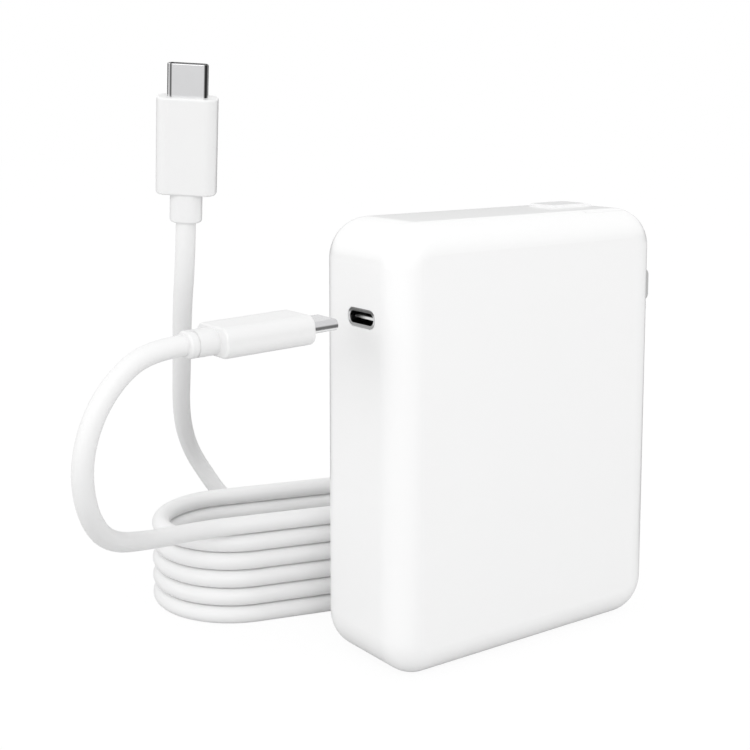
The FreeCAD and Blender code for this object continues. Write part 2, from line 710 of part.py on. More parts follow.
def transformer(front_y):
    """A cored transformer: two ferrite halves round a bobbin with its winding."""
    x0 = left_inside + TRAFO_FROM_SIDE
    x1 = x0 + TRAFO_LENGTH
    z0 = TRAFO_BOTTOM
    z1 = z0 + TRAFO_HEIGHT
    middle_x = (x0 + x1) / 2
    middle_z = (z0 + z1) / 2
    middle_y = (front_y + board_front_y) / 2
    halves = []
    for y_out, inward in ((front_y, 1), (board_front_y, -1)):
        low, high = sorted((y_out, y_out + inward * TRAFO_PLATE))
        half = box(x0, x1, low, high, z0, z1)
        low, high = sorted((y_out, middle_y))
        half = half.fuse(rod(TRAFO_LEG_R, Vector(middle_x, low, middle_z), Vector(middle_x, high, middle_z)))
        for a, b in ((x0, x0 + TRAFO_SIDE), (x1 - TRAFO_SIDE, x1)):
            half = half.fuse(box(a, b, low, high, z0, z1))
        halves.append(half.removeSplitter())
    keep("transformer_core", *halves)
    start = Vector(middle_x, front_y + TRAFO_PLATE, middle_z)
    end = Vector(middle_x, board_front_y - TRAFO_PLATE, middle_z)
    flange = Vector(0, BOBBIN_WALL, 0)
    tube_r = TRAFO_LEG_R + BOBBIN_WALL
    bobbin = rod(tube_r, start, end).fuse(rod(BOBBIN_R, start, start + flange)).fuse(rod(BOBBIN_R, end - flange, end))
    keep("transformer_bobbin", bobbin.cut(rod(TRAFO_LEG_R, start, end)).removeSplitter())
    winding = rod(WINDING_R, start + flange, end - flange).cut(rod(tube_r, start, end))
    keep("transformer_winding", winding)


def chokes():
    """A ring choke with its two windings, and a drum choke."""
    out = Vector(0, -1, 0)
    back = Vector(RING_X, board_front_y, HEIGHT - RING_DROP)
    near = back + out * RING_WIRE
    core = rod(RING_R, near + out * RING_THICK, near).cut(rod(RING_HOLE_R, near + out * far, back))
    keep("line_choke_core", core)
    wrap = rod(RING_R + RING_WIRE, near + out * (RING_THICK + RING_WIRE), back)
    wrap = wrap.cut(rod(RING_HOLE_R - RING_WIRE, near + out * far, back))
    windings = []
    for x0, x1 in ((-RING_R - 2 * RING_WIRE, -RING_SPLIT), (RING_SPLIT, RING_R + 2 * RING_WIRE)):
        half = box(
            back.x + x0, back.x + x1, back.y - far, back.y, back.z - RING_WRAP_HALF, back.z + RING_WRAP_HALF
        )
        windings.append(wrap.common(half).cut(core))
    keep("line_choke_windings", *windings)

    x1 = right_inside - DRUM_FROM_SIDE
    x0 = x1 - DRUM_SIDE
    z0 = DRUM_BOTTOM
    z1 = z0 + DRUM_SIDE
    low = board_front_y - DRUM_DEPTH
    middle_x = (x0 + x1) / 2
    middle_z = (z0 + z1) / 2
    drum = box(x0, x1, low, low + DRUM_PLATE, z0, z1)
    drum = drum.fuse(box(x0, x1, board_front_y - DRUM_PLATE, board_front_y, z0, z1))
    leg = rod(DRUM_LEG_R, Vector(middle_x, low, middle_z), Vector(middle_x, board_front_y, middle_z))
    keep("boost_choke_core", drum.fuse(leg).removeSplitter())
    start = Vector(middle_x, low + DRUM_PLATE, middle_z)
    end = Vector(middle_x, board_front_y - DRUM_PLATE, middle_z)
    keep("boost_choke_winding", rod(DRUM_WINDING_R, start, end).cut(leg))


def can(radius, start, end):
    """An electrolytic can with its rounded shoulder and rolled groove."""
    along = end - start
    length = along.Length
    cut = CAN_GROOVE
    profile = [
        (0, 0),
        (radius - cut, 0),
        (radius, cut),
        (radius, 4 * cut),
        (radius - cut, 5 * cut),
        (radius, 6 * cut),
        (radius, length - cut),
        (radius - cut, length),
        (0, length),
    ]
    return turned_profile(profile, start, along)


def capacitors():
    y = board_front_y - CAN_R
    side = right_inside - CAN_FROM_SIDE
    high_x = left_inside + CAN_HIGH_FROM_SIDE
    cans = [
        can(CAN_R, Vector(-side, y, CAN_LOW_Z), Vector(CAN_LENGTH - side, y, CAN_LOW_Z)),
        can(CAN_R, Vector(side, y, CAN_LOW_Z), Vector(side - CAN_LENGTH, y, CAN_LOW_Z)),
        can(CAN_R, Vector(high_x, y, CAN_HIGH_Z), Vector(high_x + CAN_LENGTH, y, CAN_HIGH_Z)),
    ]
    keep("bulk_capacitors", *cans)
    top_y = board_front_y - OUTPUT_LENGTH
    small = [can(OUTPUT_R, Vector(OUTPUT_X, board_front_y, z), Vector(OUTPUT_X, top_y, z)) for z in OUTPUT_HEIGHTS]
    keep("output_capacitors", *small)
    x0 = left_inside + TRAFO_FROM_SIDE + TRAFO_LENGTH + FILM_FROM_TRAFO
    film_y = board_front_y - FILM_SIZE[1]
    film = box(x0, x0 + FILM_SIZE[0], film_y, board_front_y, FILM_BOTTOM, FILM_BOTTOM + FILM_SIZE[2])
    upright = edges_where(film, lambda ps: max(p.y for p in ps) - min(p.y for p in ps) > FILM_SIZE[1] / 2)
    keep("film_capacitor", film.makeFillet(FILM_R, upright))


def flat_package(x0, size, drop):
    """A flat part on the main board, its top edge a drop below the brick's top."""
    top = HEIGHT - drop
    return box(x0, x0 + size[0], board_front_y - size[1], board_front_y, top - size[2], top)


def small_parts():
    """Switching transistors, control chips, the rectifier bridge and the fuse on the main board."""
    last_x = liner_x - BOARD_MARGIN - 1 - SWITCH_SIZE[0]
    keep("power_transistors", *[flat_package(last_x - i * SWITCH_STEP, SWITCH_SIZE, SWITCH_DROP) for i in range(3)])
    last_x = liner_x - CHIP_FROM_WALL - CHIP_SIZE[0]
    keep("control_chips", *[flat_package(last_x - i * SWITCH_STEP, CHIP_SIZE, CHIP_DROP) for i in range(3)])
    keep("rectifier_bridge", flat_package(left_inside + BRIDGE_FROM_SIDE, BRIDGE_SIZE, BRIDGE_DROP))
    fuse_top = Vector(left_inside + FUSE_FROM_SIDE, board_front_y - FUSE_R, HEIGHT - FUSE_DROP)
    keep("fuse", rod(FUSE_R, fuse_top - Vector(0, 0, FUSE_LENGTH), fuse_top))


def line_leads():
    """Two insulated wires from the pins' tails round to the main board."""
    top = liner_z - PIN_COLLAR - PIN_TAIL
    low = top - LEAD_STRAIGHT
    turn = math.sqrt(0.5) * LEAD_BEND
    leads = []
    for side, y in pin_places():
        start = Vector(pin_x, y, top)
        bend_start = Vector(pin_x, y, low)
        bend_middle = Vector(pin_x, y + LEAD_BEND - turn, low - turn)
        bend_end = Vector(pin_x, y + LEAD_BEND, low - LEAD_BEND)
        edges = [
            Part.LineSegment(start, bend_start).toShape(),
            Part.Arc(bend_start, bend_middle, bend_end).toShape(),
            Part.LineSegment(bend_end, Vector(pin_x, board_front_y, low - LEAD_BEND)).toShape(),
        ]
        ring = Part.Wire([Part.Circle(start, Vector(0, 0, 1), LEAD_R).toShape()])
        leads.append(Part.Wire(edges).makePipeShell([ring], True, False))
    keep("line_leads", *leads)


def place(shape, tip, along, wide):
    """Puts a connector made along local X, tip at 0 and wide side on Y, at its real place."""
    x_axis = Vector(along).normalize()
    z_axis = x_axis.cross(Vector(wide)).normalize()
    y_axis = z_axis.cross(x_axis)
    columns = (x_axis, y_axis, z_axis, tip)
    matrix = Matrix(
        columns[0].x, columns[1].x, columns[2].x, columns[3].x,
        columns[0].y, columns[1].y, columns[2].y, columns[3].y,
        columns[0].z, columns[1].z, columns[2].z, columns[3].z,
        0, 0, 0, 1,
    )
    copy = shape.copy()
    copy.Placement = FreeCAD.Placement(matrix)
    return copy


def connector(prefix, tip, along, wide, ringed):
    """One cable plug: metal shell, contact insulator, contacts, overmould and strain relief, with a ring sunk into it or plain."""
    shell_length = PLUG_SHELL + PLUG_BURIED
    inner = (PLUG_OUTER[0] - 2 * PLUG_WALL, PLUG_OUTER[1] - 2 * PLUG_WALL)
    shell = moved(stadium(PLUG_OUTER[0], PLUG_OUTER[1], shell_length), x=-shell_length)
    mouth = edges_where(shell, lambda ps: min(p.x for p in ps) > -0.01)
    shell = shell.makeFillet(0.12, mouth)
    shell = shell.cut(moved(stadium(inner[0], inner[1], shell_length + 2), x=-shell_length - 1))

    insulator = moved(stadium(inner[0], inner[1], shell_length - PLUG_LIP), x=-shell_length)
    slot = box(-PLUG_SLOT_DEPTH, 1, -PLUG_SLOT[0] / 2, PLUG_SLOT[0] / 2, -PLUG_SLOT[1] / 2, PLUG_SLOT[1] / 2)
    insulator = insulator.cut(slot)
    face = PLUG_SLOT[1] / 2 - PLUG_CONTACT_THICK
    strips = contact_rows(-PLUG_SLOT_DEPTH, -0.9, face, PLUG_CONTACT_THICK)

    body_end = -PLUG_SHELL - OVERMOULD_LENGTH
    body = moved(rounded_bar(OVERMOULD[0], OVERMOULD[1], OVERMOULD_R, OVERMOULD_LENGTH), x=body_end)
    ends = edges_where(body, lambda ps: max(p.x for p in ps) - min(p.x for p in ps) < 0.01)
    body = body.makeFillet(OVERMOULD_END_R, ends)
    body = body.cut(moved(stadium(PLUG_OUTER[0], PLUG_OUTER[1], PLUG_BURIED + 1), x=-shell_length))

    relief = moved(rounded_bar(RELIEF[0], RELIEF[1], RELIEF_R, RELIEF_LENGTH), x=body_end - RELIEF_LENGTH)
    tail = edges_where(relief, lambda ps: max(p.x for p in ps) < body_end - RELIEF_LENGTH + 0.01)
    relief = relief.makeFillet(RELIEF_END_R, tail)
    if ringed:
        around = rounded_bar(RELIEF[0] + 2, RELIEF[1] + 2, RELIEF_R + 1, RELIEF_GROOVE_WIDTH)
        sunk = (RELIEF[0] - 2 * RELIEF_GROOVE, RELIEF[1] - 2 * RELIEF_GROOVE, RELIEF_R - RELIEF_GROOVE)
        around = around.cut(rounded_bar(*sunk, RELIEF_GROOVE_WIDTH))
        relief = relief.cut(moved(around, x=body_end - RELIEF_LENGTH + RELIEF_RING))

    keep(prefix + "_shell", place(shell, tip, along, wide))
    keep(prefix + "_insulator", place(insulator, tip, along, wide))
    keep(prefix + "_contacts", *[place(strip, tip, along, wide) for strip in strips])
    keep(prefix + "_overmould", place(body, tip, along, wide))
    keep(prefix + "_strain_relief", place(relief, tip, along, wide))


def tube_path(points):
    """Straight runs joined by tangent arcs. Prints each arc's radius."""
    radii = []
    edges = []
    here = points[0]
    for index in range(1, len(points) - 1):
        corner = points[index]
        back = points[index - 1] - corner
        ahead = points[index + 1] - corner
        turn = math.pi - back.getAngle(ahead)
        cut = 0.45 * min(back.Length, ahead.Length)
        radius = cut / math.tan(turn / 2)
        radii.append(round(radius, 1))
        back.normalize()
        ahead.normalize()
        start = corner + back * cut
        end = corner + ahead * cut
        bisector = (back + ahead).normalize()
        centre = corner + bisector * (radius / math.cos(turn / 2))
        middle = centre - bisector * radius
        edges.append(Part.LineSegment(here, start).toShape())
        edges.append(Part.Arc(start, middle, end).toShape())
        here = end
    edges.append(Part.LineSegment(here, points[-1]).toShape())
    return edges, radii


def sweep(name, edges, start, along):
    """A round cable along a path, with its volume held against its section times its length."""
    path = Part.Wire(edges)
    ring = Part.Wire([Part.Circle(start, along, CABLE_D / 2).toShape()])
    solid = path.makePipeShell([ring], True, False)
    length = sum(edge.Length for edge in edges)
    share = solid.Volume / (math.pi * CABLE_D * CABLE_D / 4 * length)
    print(name, "length", round(length, 1), "valid", solid.isValid(), "volume share", round(share, 4))
    keep(name, solid)
    return length


def biarc(p0, t0, p1, t1):
    """Two arcs from one point and direction to another, joined without a kink."""
    v = p1 - p0
    t = t0 + t1
    a = 2 * (1 - t0.dot(t1))
    b = 2 * v.dot(t)
    d = (-b + math.sqrt(b * b + 4 * a * v.dot(v))) / (2 * a)
    joint = (p0 + t0 * d + p1 - t1 * d) * 0.5
    return [arc_from(p0, t0, joint), arc_from(p1, t1 * -1, joint)]


def arc_from(start, direction, end):
    """The arc that leaves start in a direction and reaches end."""
    chord = end - start
    across = chord - direction * chord.dot(direction)
    half = math.atan2(across.Length, chord.dot(direction))
    across.normalize()
    radius = chord.Length / (2 * math.sin(half))
    middle = start + direction * (radius * math.sin(half)) + across * (radius * (1 - math.cos(half)))
    return Part.Arc(start, middle, end).toShape()


def coil_point(along, out, z):
    across = Vector(-COIL_ALONG.y, COIL_ALONG.x, 0)
    return COIL_ALONG * along + across * out + Vector(0, 0, z)


def level_z(level):
    """Height of the cable's middle on a level of the coil, with level 1 on the table."""
    return CABLE_D / 2 + (level - 1) * COIL_PITCH


def coil_path():
    """Flat oval turns that each step down one level in the half turn behind the brick."""
    across = Vector(-COIL_ALONG.y, COIL_ALONG.x, 0)
    right = COIL_ALONG
    left = COIL_ALONG * -1
    radius = (COIL_BACK - COIL_FRONT) / 2
    middle = (COIL_BACK + COIL_FRONT) / 2
    down = (across - Vector(0, 0, COIL_DROP_SLOPE)).normalize()
    edges = []
    start_along = COIL_START
    for level in range(COIL_LEVELS, 1, -1):
        z = level_z(level)
        below = level_z(level - 1)
        start = coil_point(start_along, COIL_FRONT, z)
        turn = coil_point(COIL_RIGHT, COIL_FRONT, z)
        side = coil_point(COIL_RIGHT + radius, middle, (z + below) / 2)
        back = coil_point(COIL_RIGHT, COIL_BACK, below)
        far_back = coil_point(COIL_LEFT, COIL_BACK, below)
        far_side = coil_point(COIL_LEFT - radius, middle, below)
        far_front = coil_point(COIL_LEFT, COIL_FRONT, below)
        edges.append(Part.LineSegment(start, turn).toShape())
        edges += biarc(turn, right, side, down)
        edges += biarc(side, down, back, left)
        edges.append(Part.LineSegment(back, far_back).toShape())
        edges.append(arc_from(far_back, left, far_side))
        edges.append(arc_from(far_side, across * -1, far_front))
        start_along = COIL_LEFT
    z = level_z(1)
    start = coil_point(COIL_LEFT, COIL_FRONT, z)
    turn = coil_point(COIL_OUTER_RIGHT, COIL_FRONT, z)
    outer = (COIL_OUTER - COIL_FRONT) / 2
    side = coil_point(COIL_OUTER_RIGHT + outer, COIL_FRONT + outer, z)
    back = coil_point(COIL_OUTER_RIGHT, COIL_OUTER, z)
    edges.append(Part.LineSegment(start, turn).toShape())
    edges.append(arc_from(turn, right, side))
    edges.append(arc_from(side, across, back))
    edges.append(Part.LineSegment(back, coil_point(COIL_END, COIL_OUTER, z)).toShape())
    return edges


def least_gap(edges):
    """The least gap of the coiled cable to itself, measured on points along its middle line."""
    step = 1.5
    points = []
    run = 0.0
    for edge in edges:
        count = max(2, int(edge.Length / step))
        first, last = edge.FirstParameter, edge.LastParameter
        ends = (edge.valueAt(first), edge.valueAt(last))
        backwards = bool(points) and (ends[1] - points[-1][1]).Length < (ends[0] - points[-1][1]).Length
        for index in range(count + 1):
            share = index / count
            where = edge.valueAt(last + (first - last) * share if backwards else first + (last - first) * share)
            points.append((run + edge.Length * share, where))
        run += edge.Length
    least = 1e9
    for index, (run_a, a) in enumerate(points):
        for run_b, b in points[index + 1:]:
            if run_b - run_a > 8 * CABLE_D:
                least = min(least, (a - b).Length)
    return least - CABLE_D


# Route of the cable between the port plug and the coil, and from the coil up to the laptop plug
plug_length = PLUG_SHELL + OVERMOULD_LENGTH + RELIEF_LENGTH
port_plug_along = Vector(math.cos(PORT_PLUG_DROOP), 0, math.sin(PORT_PLUG_DROOP))
port_plug_tip = Vector(-half_width - PORT_PLUG_GAP, PORT_Y, port_z)
port_plug_exit = port_plug_tip - port_plug_along * plug_length
LEAD_ROUTE = [
    port_plug_exit,
    port_plug_exit - port_plug_along * 6,
    Vector(-91.3, -2, 71.9),
    Vector(-97.7, -2.6, 64.8),
    Vector(-100.3, -1.7, 54.8),
    Vector(-97.3, 2.6, 43.8),
    Vector(-88, 14, 33.5),
    Vector(-70, 32.5, 25.5),
    coil_point(COIL_START - 11, COIL_FRONT, level_z(COIL_LEVELS)),
    coil_point(COIL_START, COIL_FRONT, level_z(COIL_LEVELS)),
]
RISER_ROUTE = [
    coil_point(COIL_END, COIL_OUTER, level_z(1)),
    coil_point(COIL_END - 12, COIL_OUTER, level_z(1) + 0.1),
    Vector(-18.5, 75.5, 8.5),
    Vector(-25.5, 79, 16),
    Vector(-31, 78, 23.5),
    Vector(-38, 73.5, 32.5),
    Vector(-46.5, 61.5, 44.5),
    Vector(-56.5, 41.5, 62.5),
    Vector(-62.5, 29.5, 76.5),
    Vector(-65, 23, 87.5),
    Vector(-65.5, 21.5, 96),
]


def cable():
    connector("port_plug", port_plug_tip, port_plug_along, Vector(0, 1, 0), True)
    up = (RISER_ROUTE[-1] - RISER_ROUTE[-2]).normalize()
    connector("laptop_plug", RISER_ROUTE[-1] + up * plug_length, up, Vector(-0.809, 0.587, 0), False)

    lead, lead_radii = tube_path(LEAD_ROUTE)
    riser, riser_radii = tube_path(RISER_ROUTE)
    coil = coil_path()
    print("lead radii", lead_radii)
    print("riser radii", riser_radii)
    print("coil gap", round(least_gap(coil), 2))
    total = sweep("cable_lead", lead, LEAD_ROUTE[0], LEAD_ROUTE[1] - LEAD_ROUTE[0])
    total += sweep("cable_coil", coil, coil_point(COIL_START, COIL_FRONT, level_z(COIL_LEVELS)), COIL_ALONG)
    total += sweep("cable_riser", riser, RISER_ROUTE[0], RISER_ROUTE[1] - RISER_ROUTE[0])
    print("cable", round(total, 1), "tip to tip", round(total + 2 * plug_length, 1))


housing()
inlet()
plug_head()
blades()
socket()
transformer(boards())
chokes()
capacitors()
small_parts()
line_leads()
cable()

os.makedirs("parts", exist_ok=True)
for node, shape in NODES.items():
    if not shape.isValid():
        print("not valid:", node)
    shape.exportStep(os.path.join("parts", node + ".step"))
print(len(NODES), "nodes")
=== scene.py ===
import json
import math

import bpy
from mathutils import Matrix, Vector


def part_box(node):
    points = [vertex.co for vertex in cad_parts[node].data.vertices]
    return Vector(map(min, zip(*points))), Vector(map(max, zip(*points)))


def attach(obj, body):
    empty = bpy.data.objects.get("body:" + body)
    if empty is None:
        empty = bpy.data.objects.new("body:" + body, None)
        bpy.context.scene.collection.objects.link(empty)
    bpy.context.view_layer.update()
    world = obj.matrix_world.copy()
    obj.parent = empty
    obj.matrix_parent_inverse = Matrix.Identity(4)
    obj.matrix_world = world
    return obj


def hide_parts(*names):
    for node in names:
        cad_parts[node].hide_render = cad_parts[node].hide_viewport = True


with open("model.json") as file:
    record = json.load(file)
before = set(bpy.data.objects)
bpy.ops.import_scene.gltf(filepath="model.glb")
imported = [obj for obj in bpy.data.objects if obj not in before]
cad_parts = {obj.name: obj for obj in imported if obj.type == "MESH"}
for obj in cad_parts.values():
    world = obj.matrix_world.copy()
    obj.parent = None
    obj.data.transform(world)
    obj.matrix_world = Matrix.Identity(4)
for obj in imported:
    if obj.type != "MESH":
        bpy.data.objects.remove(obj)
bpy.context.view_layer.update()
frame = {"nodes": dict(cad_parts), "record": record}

MM = 0.001

# The photograph's view. The lens's axis meets the picture at the row given here.
IMAGE_SIDE = 750
CAMERA_PLACE = Vector((-198.05, -227.72, 122.76)) * MM
CAMERA_HEADING = math.radians(-35.97)
CAMERA_DOWN = math.radians(7.12)
FOCAL_PIXELS = 1357.56
LENS_AXIS_ROW = 260
SENSOR = 36
NEAREST_SEEN = 10 * MM

# Charging cable. The coil has its own two axes, along it and out behind the brick.
CABLE_D = 4.15 * MM
COIL_ALONG = Vector((0.9656, -0.2599, 0))
COIL_ACROSS = Vector((0.2599, 0.9656, 0))
COIL_LEFT = -49.2 * MM
COIL_RIGHT = -2 * MM
COIL_FRONT = 22.2 * MM
COIL_BACK = 58.6 * MM
COIL_OUTER = 64.2 * MM
COIL_OUTER_RIGHT = 3 * MM
COIL_START = -50 * MM
COIL_END = -12 * MM
COIL_PITCH = 4.28 * MM
COIL_LEVELS = 6
HALF_TURN_POINTS = 8
LEAD_IN = 11 * MM
LEAD_OUT = 12 * MM
LEAD_OUT_LIFT = 0.1 * MM
CABLE_STEPS = 6
CABLE_ROUNDNESS = 8

# Polished shells: half their width or height, and the bands of painted reflection and shade across
# them.
# Each band has its place, from -1 to 1, its half width in the same measure, and its grey.
SOCKET_SHELL_HALF = 1.43 * MM
SOCKET_PAINTED_REFLECTIONS = ((1, 0.5, 0.2), (-1, 0.5, 0.5))
PORT_PLUG_HALF = 1.2 * MM
PORT_PLUG_UP = Vector((-0.0349, 0, 0.9994))
PORT_PLUG_PAINTED_REFLECTIONS = ((-0.1, 0.4, 0.2), (-0.6, 0.2, 0.9))
UPRIGHT_PLUG_HALF = 4.125 * MM
UPRIGHT_PLUG_ACROSS = Vector((0.8138, -0.5786, -0.0543))
UPRIGHT_PLUG_PAINTED_REFLECTIONS = ((0.9, 0.11, 0.03), (-0.8, 0.07, 0.16), (-0.98, 0.06, 0.3))

# A painted highlight on the front edge of the socket's tongue, where its plate shows: the edge's
# depth, and the shares of its width where the highlight fades in
TONGUE_EDGE = 0.2 * MM
TONGUE_LIT = (0.2, 0.65)

# Patterns in the finishes: their sizes, and where their masks turn on
MOULD_CLOUD = 24 * MM
FINE_GRAIN = 0.3 * MM
GRAIN_DEPTH = 0.004 * MM
BRUSH_LINE = 0.05 * MM
BRUSH_TONE = 6 * MM
BRUSH_DEPTH = 0.002 * MM
POLISH_HAZE = 3 * MM
POLISH_SPECK = 0.2 * MM
SPECK_FROM = 0.68
COAT_ROUGHNESS = 0.1
TRACKS_PER_METRE = 280.0
TRACK_HALF = 0.16
PADS_PER_METRE = 260.0
PAD_RADIUS = 0.16
GRAINS_PER_METRE = 2600.0
CAN_END_FROM = 0.7
CAN_STRIPE_FROM = 0.93

# Wound wire of the transformer and the two chokes. Pitch and bend are in wire radii.
TRAFO_WIRE_R = 0.35 * MM
TRAFO_TUBE_R = 6.4 * MM
DRUM_WIRE_R = 0.42 * MM
DRUM_LEG_R = 4.2 * MM
RING_WIRE_R = 0.46 * MM
RING_HOLE_SHARE = 0.5
RING_TURNS = 11
RING_HALF_SWEEP = math.radians(118)
RING_STEPS = 64
WIRE_PITCH = 2.1
WIRE_BEND = 1.6
WIRE_BEND_STEPS = 4
WIRE_SIDES = 8
STEPS_A_TURN = 28

# Surround and lamps. The camera sees white all round. What gloss mirrors has a dim end wall
# behind the object, and a strip of dim floor that runs up to it.
FLOOR_SIDE = 4
FLOOR_GREY = 0.7
FLOOR_SEEN = 0.88
FLOOR_GLOW = 1.05
SKY_LOW = 1.08
SKY_FALL = 0.35
END_WALL = Vector((0.587, 0.809, 0))
END_WALL_DIM = 0.97
END_WALL_TOP = (0.04, 0.13)
END_WALL_SIDES = (-0.25, 0.15)
DIM_STRIP_HALF = 0.08
DIM_STRIP_SPREAD = 0.7
DIM_STRIP_EDGE = (0.5, 1.1)
LAMP_DISTANCE = 1.4
LAMP_TARGET = Vector((0, 0, 45 * MM))
# Direction from the object, side of the square, level
LAMPS = {
    "key": ((-0.5, -0.68, 0.55), 0.9, 0.21),
    "socket_side": ((-0.95, 0.1, 0.28), 0.7, 0.08),
}


class Value:
    """What comes out of a node. Arithmetic on it adds Math nodes to the same tree."""

    def __init__(self, graph, socket):
        self.graph = graph
        self.socket = socket

    def _maths(self, operation, first, second):
        node = self.graph.tree.nodes.new("ShaderNodeMath")
        node.operation = operation
        self.graph.feed(node.inputs[0], first)
        self.graph.feed(node.inputs[1], second)
        return Value(self.graph, node.outputs[0])

    def __add__(self, other):
        return self._maths("ADD", self, other)

    def __radd__(self, other):
        return self._maths("ADD", other, self)

    def __sub__(self, other):
        return self._maths("SUBTRACT", self, other)

    def __rsub__(self, other):
        return self._maths("SUBTRACT", other, self)

    def __mul__(self, other):
        return self._maths("MULTIPLY", self, other)

    def __rmul__(self, other):
        return self._maths("MULTIPLY", other, self)

    def __truediv__(self, other):
        return self._maths("DIVIDE", self, other)

    def __gt__(self, other):
        return self._maths("GREATER_THAN", self, other)

    def __lt__(self, other):
        return self._maths("LESS_THAN", self, other)


class Graph:
    """A node tree, with one call that adds any node to it."""

    def __init__(self, tree):
        self.tree = tree

    def feed(self, socket, value):
        if isinstance(value, Value):
            self.tree.links.new(value.socket, socket)
        else:
            socket.default_value = value

    def node(self, kind, settings=None, values=None, output=0):
        """Adds a node: its settings first, then the values or links of its sockets."""
        node = self.tree.nodes.new(kind)
        for name, value in (settings or {}).items():
            setattr(node, name, value)
        for name, value in (values or {}).items():
            self.feed(node.inputs[name], value)
        return Value(self, node.outputs[output])

    def soft_step(self, value, start, end, first=0.0, last=1.0):
        """Runs smoothly from the first level to the last while the value goes from start to end."""
        return self.node(
            "ShaderNodeMapRange",
            {"interpolation_type": "SMOOTHSTEP"},
            {"Value": value, "From Min": start, "From Max": end, "To Min": first, "To Max": last},
        )

    def reach(self, place, direction):
        """How far a place lies along a direction."""
        return self.node(
            "ShaderNodeVectorMath",
            {"operation": "DOT_PRODUCT"},
            {0: place, 1: direction},
            output="Value",
        )

    def split(self, vector, letters):
        """Some of a vector's parts, by their letters."""
        parts = self.node("ShaderNodeSeparateXYZ", {}, {"Vector": vector}).socket.node.outputs
        return [Value(self, parts[letter]) for letter in letters]


class Finish(Graph):
    """A procedural surface. Its patterns are measured in metres on the object."""

    def __init__(self, name, fixed=None):
        self.material = bpy.data.materials.new(name)
        self.material.use_nodes = True
        super().__init__(self.material.node_tree)
        self.shader = self.tree.nodes["Principled BSDF"]
        self.place = self.node("ShaderNodeTexCoord", output="Object")
        self.surface(fixed or {})

    def surface(self, sockets):
        """Gives the shader's sockets their values or links."""
        for name, value in sockets.items():
            self.feed(self.shader.inputs[name], value)

    def noise(self, feature, detail=2.0, stretch=(1, 1, 1)):
        """Cloudy noise with features of a size in metres, drawn out along an axis by stretch."""
        scale = tuple(1 / (feature * share) for share in stretch)
        spread = self.node("ShaderNodeMapping", {}, {"Vector": self.place, "Scale": scale})
        return self.node(
            "ShaderNodeTexNoise", {}, {"Vector": spread, "Scale": 1.0, "Detail": detail}
        )

    def cells(self, per_metre, **settings):
        """Distance from the middles of scattered cells, in cell sizes."""
        return self.node(
            "ShaderNodeTexVoronoi",
            settings,
            {"Vector": self.place, "Scale": per_metre},
            output="Distance",
        )

    def blend(self, mask, first, second):
        """A colour between two, by a mask from 0 to 1. Each is a colour or an earlier blend."""
        ends = (end if isinstance(end, Value) else (*end, 1) for end in (first, second))
        return self.node(
            "ShaderNodeMix",
            {"data_type": "RGBA"},
            {"Factor": mask, **dict(zip("AB", ends))},
            output="Result",
        )

    def band(self, value, half_width):
        """A soft mask, 1 where the value is 0, and 0 from the half width outwards."""
        return self.soft_step(value * value, 0.0, half_width ** 2, 1.0, 0.0)

    def bump(self, height, depth):
        return self.node("ShaderNodeBump", {}, {"Height": height, "Distance": depth})


def shaded(colour, share):
    return tuple(channel * share for channel in colour)


def grey(level):
    return (level, level, level)


def moulded(
    name, colour, roughness, grain=FINE_GRAIN, depth=GRAIN_DEPTH, coat=0.0, specular=0.5
):
    """Moulded plastic with a fine eroded grain, and a faint cloudiness from the mould."""
    fixed = {"Specular IOR Level": specular, "Coat Weight": coat, "Coat Roughness": COAT_ROUGHNESS}
    finish = Finish(name, fixed)
    cloud = finish.noise(MOULD_CLOUD, detail=3)
    pores = finish.noise(grain)
    finish.surface(
        {
            "Base Color": finish.blend(cloud, shaded(colour, 0.985), colour),
            "Roughness": roughness + 0.05 * (cloud - 0.5) + 0.08 * (pores - 0.5),
            "Normal": finish.bump(pores, depth),
        }
    )
    return finish.material


def brushed(name, colour, roughness, stretch, metallic=1.0):
    """Metal with fine lines along one direction, and broader tone across them."""
    finish = Finish(name, {"Metallic": metallic})
    lines = finish.noise(BRUSH_LINE, detail=3, stretch=stretch)
    tone = finish.noise(BRUSH_TONE)
    finish.surface(
        {
            "Base Color": finish.blend(lines * 0.5 + tone * 0.5, shaded(colour, 0.88), colour),
            "Roughness": roughness + 0.16 * (lines - 0.5),
            "Normal": finish.bump(lines, BRUSH_DEPTH),
        }
    )
    return finish.material


def plated(name, colour, roughness):
    """Smooth plated metal with a faint haze and a few dull specks."""
    finish = Finish(name, {"Metallic": 1.0})
    haze = finish.noise(POLISH_HAZE, detail=3)
    specks = finish.noise(POLISH_SPECK, detail=1)
    finish.surface(
        {
            "Base Color": finish.blend(haze, shaded(colour, 0.93), colour),
            "Roughness": roughness + 0.1 * (haze - 0.5) + 0.12 * (specks > SPECK_FROM),
            "Normal": finish.bump(specks, 0.0015 * MM),
        }
    )
    return finish.material


def circuit_board():
    """Green solder mask over thin copper tracks, with tinned pads."""
    finish = Finish("circuit_board", {"Coat Weight": 0.4})
    nearest, next_nearest = (
        finish.cells(TRACKS_PER_METRE, distance="CHEBYCHEV", feature=feature)
        for feature in ("F1", "F2")
    )
    tracks = finish.band(next_nearest - nearest, TRACK_HALF)
    cloud = finish.noise(9 * MM)
    tinned = finish.cells(PADS_PER_METRE) < PAD_RADIUS
    mask = finish.blend(tracks * 0.7 + cloud * 0.3, (0.02, 0.12, 0.06), (0.06, 0.27, 0.13))
    finish.surface(
        {
            "Base Color": finish.blend(tinned, mask, (0.62, 0.62, 0.6)),
            "Metallic": tinned,
            "Roughness": 0.4 - 0.1 * tinned + 0.1 * (cloud - 0.5),
            "Normal": finish.bump(tracks + tinned, 0.03 * MM),
        }
    )
    return finish.material


